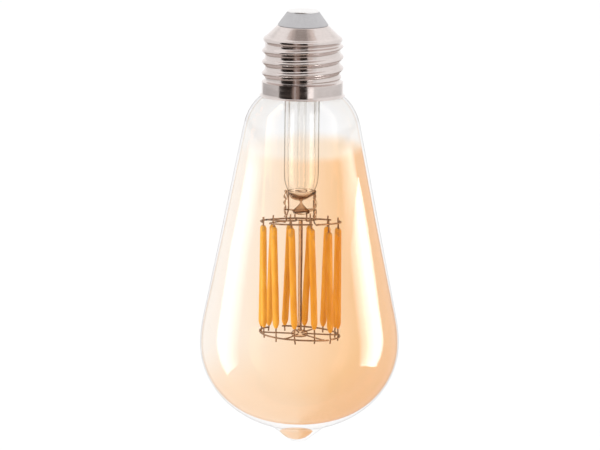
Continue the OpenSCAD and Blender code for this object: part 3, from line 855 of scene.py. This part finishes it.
def make_crown_wire(place, sag):
    """A crown wire, bent by hand: its radius and height waver a little."""
    layer, part = place.split("_")
    node = f"{layer}_wire_{part}"
    plane = upper_plane if layer == "upper" else lower_plane
    start, end = arc_span(node)
    steps = max(12, int((end - start) / 3))
    path = []
    for i in range(steps + 1):
        a = start + (end - start) * i / steps
        lift = Vector((0, 0, sag * math.sin(a * 0.07 + 1)))
        path.append(on_crown(plane, a, crown_r + 0.06 * math.sin(a * 0.11)) + lift)
    shape = Shape()
    shape.tube(path, crown_wire_r, 14)
    shape.build("crown_" + place, [wire_metal], [node])


def make_wires(name, nodes, paths, sealed=()):
    """Bent wires, each with a weld at its last point, and the thin lengths that are sealed
    in the glass."""
    shape = Shape()
    sealed_r = 0.11
    for path in paths:
        shape.tube(smooth_path(path), lead_r, 12)
    for path in sealed:
        shape.tube(smooth_path(path), sealed_r, 10, slot=2)
    for path in paths:
        shape.ball(path[-1], (0.36, 0.36, 0.32), slot=1)
    shape.build(name, [wire_metal, weld_metal, sealed_metal], nodes)


def make_lead(which, side, outside):
    """A feed wire: thin where it is sealed in the stem, and thick below the press."""
    x = side * 4.1
    press_bottom = press_low.z
    in_stem = [(x, 2.4, neck_top_z + 0.4), (x, 1.6, neck_top_z - 2), (x, 0.5, neck_top_z - 6),
               (x, 0.05, rim_z - 5), (x, 0, rim_z - 17), (x, 0.1, tube_low.z + 3),
               (x * 1.02, 0.1, press_high.z - 1)]
    below = [(x * 1.02, 0.1, press_high.z - 1), (x * 0.98, -0.1, press_bottom + 4)]
    make_wires(f"lead_{which}", [f"lead_wire_{which}"], [below + outside], sealed=[in_stem])


def make_leads():
    z = press_low.z
    reach = crown_r - weld_overlap
    make_lead("left", -1, [(-4.6, -0.4, z + 1.4), (-4.9, -1.0, z - 0.4), (-6.3, -2.4, z - 0.1),
                           (-8.2, -4.4, z), on_crown(upper_plane, -51.5, reach)])
    make_lead("right", 1, [(4.3, -0.4, z + 1.8), (4.2, -1.0, z + 0.1), (4.6, -2.8, z - 0.7),
                           (5.2, -6.5, z - 0.6), on_crown(upper_plane, 27, reach)])


def make_supports():
    z = press_low.z
    reach = crown_r - weld_overlap
    paths = []
    for side, x, angle in ((1, 1.9, 151), (-1, -1.9, 241)):
        paths.append([(x, 0, z + 2.7), (x, 0, z + 0.8), (x + side * 0.2, 0.5, z - 0.4),
                      on_crown(upper_plane, angle, reach)])
    make_wires("supports_upper", ["upper_supports"], paths)
    paths = []
    for angle in (-82, -22, 38, 98, 158, 192):
        bend = rng.uniform(-2.5, 2.5)
        lift = Vector((0, 0, rng.uniform(-0.12, 0.16)))
        paths.append([around(angle, bead_high.x - 1.2, lower_plane[0]),
                      on_crown(lower_plane, angle + bend, 5.5) + lift,
                      on_crown(lower_plane, angle + bend, 9.5) + lift,
                      on_crown(lower_plane, angle, crown_r - 0.3)])
    make_wires("supports_lower", ["lower_supports"], paths)


# ---- filaments

def phosphor_material():
    """Orange silicone, paler where it is thin over the strip, and duller at the upper end,
    where the strip's metal foot shows through."""
    n = Nodes("phosphor_coat")
    cloud = n.noise((0.35, 0.35, 0.12), detail=3)
    fine = n.noise((3, 3, 3), detail=4)
    height = n.new("ShaderNodeSeparateXYZ", Vector=n.place).outputs["Z"]
    mean_top = upper_plane[0] - 1.7
    foot = n.ranged(height, (mean_top - 3.2) * MM, (mean_top - 1.6) * MM, 0.0, 0.45, smooth=True)
    spots = n.ranged(n.noise((0.8, 0.8, 0.5), detail=2), 0.42, 0.58, 0.0, 1.0, smooth=True)
    coat = n.ramp(cloud, (0.25, (0.68, 0.315, 0.022)), (0.5, (0.75, 0.385, 0.036)),
                  (0.8, (0.84, 0.485, 0.06)))
    dull_foot = (0.36, 0.22, 0.09, 1)
    return n.done(n.new(
        "ShaderNodeBsdfPrincipled", Metallic=0.0, Specular_IOR_Level=0.3,
        Base_Color=n.mix(n.times(foot, spots), coat, dull_foot),
        Roughness=n.ranged(fine, 0.3, 0.7, 0.55, 0.7), Normal=n.bump(fine, 0.15, 0.05)))


phosphor = phosphor_material()


def swell(start, end):
    """Share of a coat's full size at these distances from its blunt and its drawn end."""
    blunt_end = 0.8
    drawn_end = 2.2
    blunt = 0.6 + 0.4 * math.sin(min(start / blunt_end, 1) * math.pi / 2)
    drawn = 0.42 + 0.58 * math.sin(min(end / drawn_end, 1) * math.pi / 2)
    return min(blunt, drawn)


def make_filament(number):
    node = f"filament_{number:02d}"
    top, bottom = ends_of(node)
    length = (bottom - top).length
    down = (bottom - top).normalized()
    outward = Vector((top.x + bottom.x, top.y + bottom.y, 0)).normalized()
    outward = (outward - outward.dot(down) * down).normalized()
    across = down.cross(outward)
    half_w = 1.06
    half_t = 0.94
    steps = 60
    sides = 28
    seed = number * 3.7
    rings = []
    for i in range(steps + 1):
        s = length * (1 - math.cos(math.pi * i / steps)) / 2
        full = swell(s, length - s)
        sway = 0.05 * math.sin(s * 0.16 + seed)
        centre = top + down * s + across * sway * smoothstep(0, 4, min(s, length - s))
        ring = []
        for j in range(sides):
            a = 2 * math.pi * j / sides
            c, q = math.cos(a), math.sin(a)
            lump = 1 + 0.03 * noise.noise(Vector((c, q, s * 0.35 + seed)))
            ring.append(centre + full * lump * (
                half_w * math.copysign(abs(c) ** 0.8, c) * across
                + half_t * math.copysign(abs(q) ** 0.8, q) * outward))
        rings.append(ring)
    shape = Shape()
    shape.grid(rings)
    shape.build("led_" + node, [phosphor], [node], sharp=60)
    return top, bottom


def make_pins(spines):
    """The end pins, spot-welded to the crowns, each a little bent."""
    shape = Shape()
    tail = 1.7
    for top, bottom in spines:
        down = (bottom - top).normalized()
        for end, away, plane in ((top, -down, upper_plane), (bottom, down, lower_plane)):
            crossing = end + away * abs((height_in(plane, end) - end.z) / away.z)
            tip = crossing + away * (tail + rng.uniform(-0.7, 0.1))
            tip += Vector((rng.uniform(-0.15, 0.15), rng.uniform(-0.15, 0.15), 0))
            middle = (end + crossing) / 2 + Vector((rng.uniform(-0.08, 0.08), 0, 0))
            path = smooth_path([end - away * 0.4, end, middle, crossing, tip], 4)
            shape.tube(path, pin_r, 10)
            outward = Vector((crossing.x, crossing.y, 0)).normalized()
            shape.ball(crossing + outward * 0.2, (0.34, 0.34, 0.3), slot=1)
    shape.build("filament_pin_wires", [wire_metal, weld_metal],
                ["filament_pins"])


# ---- driver and cement

def finish_inner_nodes():
    """Materials for the CAD nodes that stay as they are, inside the cap."""
    finishes = [
        ("sleeve", ["insulating_sleeve"], "sleeve_film", (0.7, 0.67, 0.58),
         (0.82, 0.8, 0.72), (0.3, 0.45), {"coat": 0.3}),
        ("cement", ["basing_cement"], "baked_cement", (0.42, 0.34, 0.25), (0.6, 0.5, 0.38),
         (0.8, 0.95), {"grain": (1.5, 1.5, 1.5), "bump": 0.6, "bump_mm": 0.15}),
        ("circuit_board", ["driver_board"], "board_green", (0.015, 0.12, 0.05),
         (0.03, 0.22, 0.09), (0.25, 0.4), {"grain": (1, 3, 1), "coat": 0.4}),
        ("chip", ["bridge_rectifier", "driver_chip"], "moulded_epoxy", (0.018, 0.018, 0.02),
         (0.04, 0.04, 0.043), (0.45, 0.65), {"grain": (4, 4, 4), "bump": 0.3}),
        ("capacitor_sleeve", ["smoothing_capacitor"], "capacitor_sleeve",
         (0.012, 0.018, 0.06), (0.03, 0.04, 0.11), (0.25, 0.35), {"coat": 0.5}),
        ("ferrite", ["inductor_core"], "ferrite", (0.035, 0.033, 0.032),
         (0.07, 0.068, 0.065), (0.6, 0.8), {"grain": (3, 3, 3), "bump": 0.4}),
        ("copper", ["inductor_winding"], "copper_winding", (0.42, 0.16, 0.06),
         (0.78, 0.36, 0.17), (0.25, 0.4),
         {"metallic": 1.0, "grain": (0.3, 0.3, 8), "bump": 0.8, "bump_mm": 0.12}),
        ("resistor_body", ["fusible_resistor"], "resistor_lacquer", (0.06, 0.2, 0.15),
         (0.1, 0.3, 0.22), (0.3, 0.5), {}),
        ("radio_board", ["radio_module"], "board_blue", (0.012, 0.03, 0.12),
         (0.025, 0.06, 0.22), (0.25, 0.4), {"grain": (1, 3, 1), "coat": 0.4}),
        ("tinplate", ["radio_shield"], "tinplate", (0.56, 0.56, 0.55), (0.72, 0.72, 0.7),
         (0.25, 0.4), {"metallic": 1.0, "grain": (2, 2, 0.4)}),
        ("gold_plate", ["antenna_trace", "module_pins"], "gold_flash", (0.7, 0.48, 0.15),
         (0.88, 0.66, 0.28), (0.2, 0.35), {"metallic": 1.0, "grain": (4, 4, 4)}),
        ("red_insulation", ["live_wire"], "red_pvc", (0.4, 0.02, 0.02), (0.55, 0.05, 0.04),
         (0.35, 0.5), {}),
        ("blue_insulation", ["neutral_wire"], "blue_pvc", (0.02, 0.06, 0.32),
         (0.05, 0.11, 0.48), (0.35, 0.5), {}),
    ]
    for record_slot, nodes, name, dark, light, rough, extra in finishes:
        material = solid_material(name, dark, light, rough, **extra)
        for node in nodes:
            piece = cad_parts[node]
            piece.data.materials.clear()
            piece.data.materials.append(material)


# ---- the lamp

contact = make_contact()
insulator = make_insulator()
screw_cap = make_screw_shell()
bulb = make_bulb()
make_stem()
make_exhaust()
make_press()
make_rod()
make_bead()
for place, sag in (("upper_front", 0.05), ("upper_right", -0.06), ("upper_rear", 0.06),
                   ("lower_front", 0.06), ("lower_rear", -0.05)):
    make_crown_wire(place, sag)
make_leads()
make_supports()
make_pins([make_filament(number) for number in range(1, 13)])
finish_inner_nodes()


# ---- studio

camera_elevation = math.radians(9.5)
to_camera = Vector((0, -math.cos(camera_elevation), math.sin(camera_elevation)))
softbox_x = 50


def plain_emitter(name, strength, colour=(1, 1, 1)):
    n = Nodes(name)
    return n.done(n.new("ShaderNodeEmission", Color=(*colour, 1), Strength=strength))


def stage_mesh(name, points, faces, material):
    mesh = bpy.data.meshes.new(name)
    mesh.from_pydata(points, [], faces)
    mesh.materials.append(material)
    made = new_object(name, mesh)
    made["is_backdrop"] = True
    return made


def only_in_reflections(card):
    card.visible_camera = False
    card.visible_diffuse = False
    card.visible_transmission = False
    card.visible_shadow = False
    card.visible_volume_scatter = False


def make_flat_card(name, points, faces, brightness, colour=(1, 1, 1)):
    """A glowing card that only shows in reflections."""
    only_in_reflections(stage_mesh(name, points, faces,
                                   plain_emitter(name + "_tone", brightness, colour)))


def make_card(name, from_angle, to_angle, brightness, low=-0.055, high=0.03, distance=0.055,
              colour=(1, 1, 1)):
    """A card that curves round the cap. Its angles are those of the rays that the cap
    mirrors towards the camera, as seen from far away."""
    steps = 8
    cap_r = 0.0131
    points = []
    for i in range(steps + 1):
        mirrored = from_angle + (to_angle - from_angle) * i / steps
        shift = math.asin(cap_r / distance * math.sin(math.radians(mirrored / 2)))
        p = around(mirrored - math.degrees(shift), distance, 0)
        points += [(p.x, p.y, low), (p.x, p.y, high)]
    faces = [[2 * i, 2 * i + 1, 2 * i + 3, 2 * i + 2] for i in range(steps)]
    make_flat_card(name, points, faces, brightness, colour)


def seen_in_glass(z, angle, side_x):
    """Where a ray from the camera lands in the plane x = side_x, when the outside of the bulb
    mirrors it at this height and angle."""
    outline = bulb_outline()
    for above, below in zip(outline, outline[1:]):
        if below.y <= z:
            break
    r = above.x + (below.x - above.x) * (above.y - z) / (above.y - below.y)
    fall = (below - above).normalized()
    outward = around(angle, -fall.y, 0)
    normal = Vector((outward.x, outward.y, fall.x)).normalized()
    away = 2 * normal.dot(to_camera) * normal - to_camera
    p = around(angle, r, z)
    return (p + away * (side_x - p.x) / away.x) * MM


def make_glow(name, side, brightness, rows):
    """A softbox beside the bulb, cut so that its highlight has the given edges. It fades
    towards both edges."""
    side_x = side * softbox_x
    steps = 6
    columns = [(0.0, 0.4), (0.08, 0.9), (0.25, 1.0), (0.65, 1.0), (0.88, 0.7), (1.0, 0.2)]
    points = []
    tones = []
    for i in range((len(rows) - 1) * steps + 1):
        k = min(i // steps, len(rows) - 2)
        f = i / steps - k
        outer_z, outer_a, inner_z, inner_a, strength = (
            a + (b - a) * f for a, b in zip(rows[k], rows[k + 1]))
        for u, tone in columns:
            points.append(seen_in_glass(outer_z + (inner_z - outer_z) * u,
                                        side * (outer_a + (inner_a - outer_a) * u), side_x))
            tones.append(tone * strength * brightness)
    n = len(columns)
    faces = [[r * n + c, r * n + c + 1, r * n + n + c + 1, r * n + n + c]
             for r in range(len(points) // n - 1) for c in range(n - 1)]
    material = Nodes(name + "_tone")
    tone_of_point = material.new("ShaderNodeAttribute")
    tone_of_point.attribute_name = "tone"
    glow = stage_mesh(name, points, faces, material.done(
        material.new("ShaderNodeEmission", Strength=tone_of_point.outputs["Fac"],
                     Color=(1, 1, 1, 1))))
    attribute = glow.data.attributes.new("tone", "FLOAT", "POINT")
    attribute.data.foreach_set("value", tones)
    only_in_reflections(glow)


def make_key_light(lit_pieces):
    """A standing softbox at the left, which shines on the inner pieces only."""
    angle = -70
    distance = 0.5
    low, high = -0.3, 0.2
    width = 0.3
    radiance = 2.8
    light = bpy.data.lights.new("key", "AREA")
    light.shape = "RECTANGLE"
    light.size = width
    light.size_y = high - low
    light.energy = radiance * math.pi * width * (high - low)
    key = new_object("key", light)
    key.location = around(angle, distance, (low + high) / 2)
    key.rotation_euler = around(angle, distance, 0).to_track_quat("Z", "Y").to_euler()
    key.visible_camera = False
    key.visible_glossy = False
    receivers = bpy.data.collections.new("lit_by_key")
    for piece in lit_pieces:
        receivers.objects.link(piece)
    key.light_linking.receiver_collection = receivers


world = bpy.data.worlds.new("white_studio")
bpy.context.scene.world = world
world.use_nodes = True
surround = world.node_tree.nodes["Background"]
surround.inputs["Color"].default_value = (1, 1, 1, 1)
surround.inputs["Strength"].default_value = 1.08

floor_material = solid_material(
    "pale_floor", (0.94, 0.94, 0.94), (0.955, 0.955, 0.955), (0.9, 0.95),
    grain=(0.01, 0.01, 0.01), bump=0.0)
floor_z = -0.52
floor_half = 9.0
floor_corners = [(x * floor_half, y * floor_half, floor_z)
                 for x, y in ((-1, -1), (1, -1), (1, 1), (-1, 1))]
stage_mesh("floor", floor_corners, [[0, 1, 2, 3]], floor_material)

outside = (bulb, screw_cap, contact, insulator)
make_key_light([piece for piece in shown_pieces() if piece not in outside])

cap_foot = -0.036
skirt_part = -0.029
dark_top = 0.022
brown = (1, 0.74, 0.64)
make_card("card_left_of_skirt", -150, -71, 0.57, low=cap_foot, high=skirt_part)
make_card("card_left_of_thread", -150, -71, 0.95, low=skirt_part)
make_card("card_behind_darks", -70, 15.5, 0.3, distance=0.058, colour=brown)
make_card("card_dark_left", -69, -28, 0.015, low=cap_foot, high=dark_top, colour=brown)
make_card("card_thin_light", -21.5, -19.5, 0.9, low=cap_foot, high=dark_top)
make_card("card_dark_middle", -8.5, 15, 0.015, low=cap_foot, high=dark_top, colour=brown)
make_card("card_strip_of_skirt", 16, 32, 1.6, low=cap_foot, high=skirt_part)
make_card("card_strip_of_thread", 16, 32, 0.75, low=skirt_part, colour=(1, 0.9, 0.86))
make_card("card_beside_strip", 32.5, 44, 0.85, low=cap_foot)
make_card("card_right_of_skirt", 44.5, 150, 0.76, low=cap_foot, high=skirt_part)
make_card("card_right_of_thread", 44.5, 150, 1.0, low=skirt_part)
ring_steps = 24
ring_radii = (0.02, 0.06)
ring_points = [around(360 * i / ring_steps, r, cap_foot) for i in range(ring_steps)
               for r in ring_radii]
ring_faces = [[2 * i, 2 * i + 1, (2 * i + 3) % (2 * ring_steps), (2 * i + 2) % (2 * ring_steps)]
              for i in range(ring_steps)]
make_flat_card("card_below_cap", ring_points, ring_faces, 0.45, (1, 0.86, 0.78))

# Cards over the shoulder of the cap, from left to right: both edges and the brightness.
overheads = [(-0.040, -0.026, 0.75), (-0.026, -0.018, 0.55), (-0.018, 0.010, 0.4),
             (0.010, 0.018, 0.6), (0.018, 0.028, 0.85)]
overhead_z = 0.05
overhead_front = -0.024
overhead_rear = -0.002
for number, (left, right, tone) in enumerate(overheads):
    corners = [(left, overhead_front, overhead_z), (right, overhead_front, overhead_z),
               (right, overhead_rear, overhead_z), (left, overhead_rear, overhead_z)]
    make_flat_card(f"card_overhead_{number}", corners, [[0, 1, 2, 3]], tone, (1, 0.9, 0.85))

# Edges of each highlight on the front of the bulb, from the top down: the height and the
# angle of its outer edge, those of its inner edge, and how strong it is there.
make_glow("glow_left", -1, 4.4,
          [(-39, 59, -39, 33, 0.2), (-50, 58, -50, 34, 0.9), (-60, 58, -60, 35, 1.0),
           (-75, 60, -75, 38, 1.0), (-105.6, 57, -105, 37, 1.0), (-112, 53, -108.5, 37, 1.0),
           (-116, 48.4, -111, 37, 1.0)])
make_glow("glow_right", 1, 8.5,
          [(-52, 58.5, -52, 56.5, 1.0), (-60, 60, -60, 47, 1.0), (-75, 60.5, -75, 36, 1.0),
           (-105.6, 58, -105.6, 37, 1.0), (-109, 55.5, -109, 37, 1.0),
           (-112.4, 52, -111.4, 37, 1.0)])
make_glow("glow_right_pale", 1, 4.5,
          [(-39, 56, -39, 35, 0.0), (-45, 56, -45, 35, 1.0), (-52, 56, -52, 35, 1.0),
           (-60, 47, -60, 34, 1.0), (-75, 36, -75, 31, 0.7), (-90, 36, -90, 32, 0.0)])


# ---- camera

def make_camera():
    """A long lens in front of the lamp, a little above it, at the photo's scale."""
    distance = 2.6
    roll = math.radians(0.65)
    picture_px = 600
    px_per_mm = 3.10
    target = Vector((-0.25, 0, -69.9)) * MM
    data = bpy.data.cameras.new("camera")
    data.sensor_width = 36
    data.lens = px_per_mm * distance / MM / picture_px * data.sensor_width
    data.clip_end = 50
    camera = new_object("camera", data)
    camera.location = target + distance * to_camera
    camera.rotation_mode = "QUATERNION"
    camera.rotation_quaternion = ((-to_camera).to_track_quat("-Z", "Y")
                                  @ Quaternion((0, 0, 1), roll))
    bpy.context.scene.camera = camera


make_camera()
scene = bpy.context.scene
scene.view_settings.view_transform = "Standard"
scene.view_settings.look = "None"
scene.cycles.transparent_max_bounces = 40
scene.cycles.max_bounces = 16
